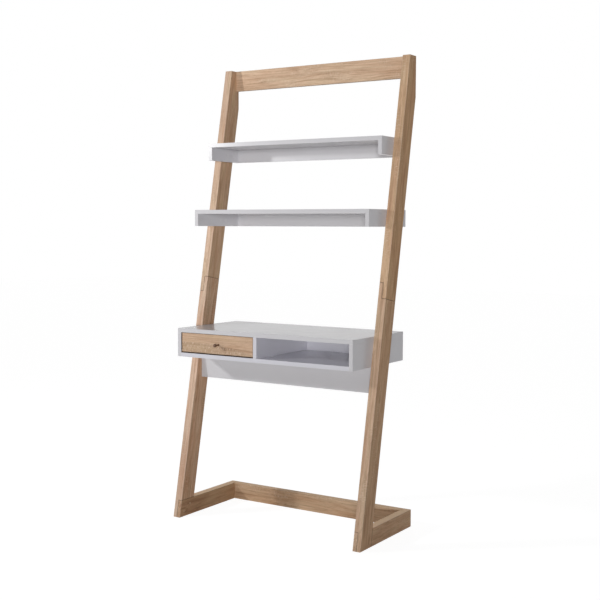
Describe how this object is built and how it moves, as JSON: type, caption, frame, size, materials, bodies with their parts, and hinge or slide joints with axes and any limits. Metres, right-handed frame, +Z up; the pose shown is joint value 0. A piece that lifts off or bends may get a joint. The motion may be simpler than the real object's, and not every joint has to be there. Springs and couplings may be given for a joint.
{
  "type": "ladder desk",
  "caption": "Leaning ladder-style writing desk: two wood-finish side frames with feet, white open-bottomed shelves and a white desk box with a drawer and an open compartment.",
  "frame": {"origin": "middle of the overall width and depth, on the floor", "axes": "+X to the right seen from the front, +Y back towards the wall, +Z up"},
  "size_m": [0.87, 0.441, 1.83],
  "materials": {
    "oak_foil": "matt sawn-oak foil on board, grain along each piece",
    "stained_wood": "dark brown stain and varnish on turned hardwood",
    "white_lacquer": "semi-gloss white lacquer on fibreboard",
    "white_melamine": "satin white melamine",
    "beech": "plain beech",
    "zinc_die_cast": "die-cast zinc",
    "zinc_plated_steel": "bright zinc plate",
    "runner_steel": "zinc-plated rolled sheet",
    "cage_steel": "pressed steel sheet",
    "bearing_steel": "polished steel balls",
    "white_cap": "white cover caps",
    "oak_plug": "oak-coloured cover plugs"
  },
  "bodies": {
    "frame": {"left_lower_stile": "oak_foil", "right_lower_stile": "oak_foil", "left_upper_stile": "oak_foil", "right_upper_stile": "oak_foil", "left_foot": "oak_foil", "right_foot": "oak_foil", "top_rail": "oak_foil", "base_rail": "oak_foil", "modesty_panel": "white_lacquer", "upper_shelf_top_board": "white_lacquer", "upper_shelf_left_end": "white_lacquer", "upper_shelf_right_end": "white_lacquer", "upper_shelf_back_rail": "white_lacquer", "middle_shelf_top_board": "white_lacquer", "middle_shelf_left_end": "white_lacquer", "middle_shelf_right_end": "white_lacquer", "middle_shelf_back_rail": "white_lacquer", "desk_top_board": "white_lacquer", "desk_bottom_board": "white_lacquer", "desk_left_end": "white_lacquer", "desk_right_end": "white_lacquer", "desk_divider": "white_lacquer", "desk_back_panel": "white_lacquer", "wood_dowels": "beech", "cam_locks": "zinc_die_cast", "base_rail_cam_locks": "zinc_die_cast", "cam_bolts": "zinc_plated_steel", "stile_bolts": "zinc_plated_steel", "threaded_inserts": "zinc_plated_steel", "lap_screws": "zinc_plated_steel", "cabinet_rail_screws": "zinc_plated_steel", "left_cabinet_rail": "runner_steel", "right_cabinet_rail": "runner_steel", "bolt_caps": "white_cap", "lap_plugs": "oak_plug"},
    "drawer": {"drawer_front": "oak_foil", "drawer_left_side": "white_melamine", "drawer_right_side": "white_melamine", "drawer_back": "white_melamine", "drawer_bottom": "white_melamine", "drawer_knob": "stained_wood", "drawer_knob_screw": "zinc_plated_steel", "drawer_cam_bolts": "zinc_plated_steel", "drawer_cam_locks": "zinc_die_cast", "drawer_dowels": "beech", "drawer_corner_screws": "zinc_plated_steel", "drawer_bottom_screws": "zinc_plated_steel", "left_drawer_rail": "runner_steel", "right_drawer_rail": "runner_steel", "drawer_rail_screws": "zinc_plated_steel"},
    "left_cage": {"left_ball_cage": "cage_steel", "left_runner_balls": "bearing_steel"},
    "right_cage": {"right_ball_cage": "cage_steel", "right_runner_balls": "bearing_steel"}
  },
  "joints": [
    {"name": "drawer_slide", "type": "slide", "parent": "frame", "child": "drawer", "axis": [0, -1, 0], "range_m": [0, 0.21]},
    {"name": "left_cage_slide", "type": "slide", "parent": "frame", "child": "left_cage", "axis": [0, -1, 0], "range_m": [0, 0.105]},
    {"name": "right_cage_slide", "type": "slide", "parent": "frame", "child": "right_cage", "axis": [0, -1, 0], "range_m": [0, 0.105]}
  ],
  "couplings": [
    {"joint": "left_cage_slide", "follows": "drawer_slide", "ratio": 0.5},
    {"joint": "right_cage_slide", "follows": "drawer_slide", "ratio": 0.5}
  ]
}
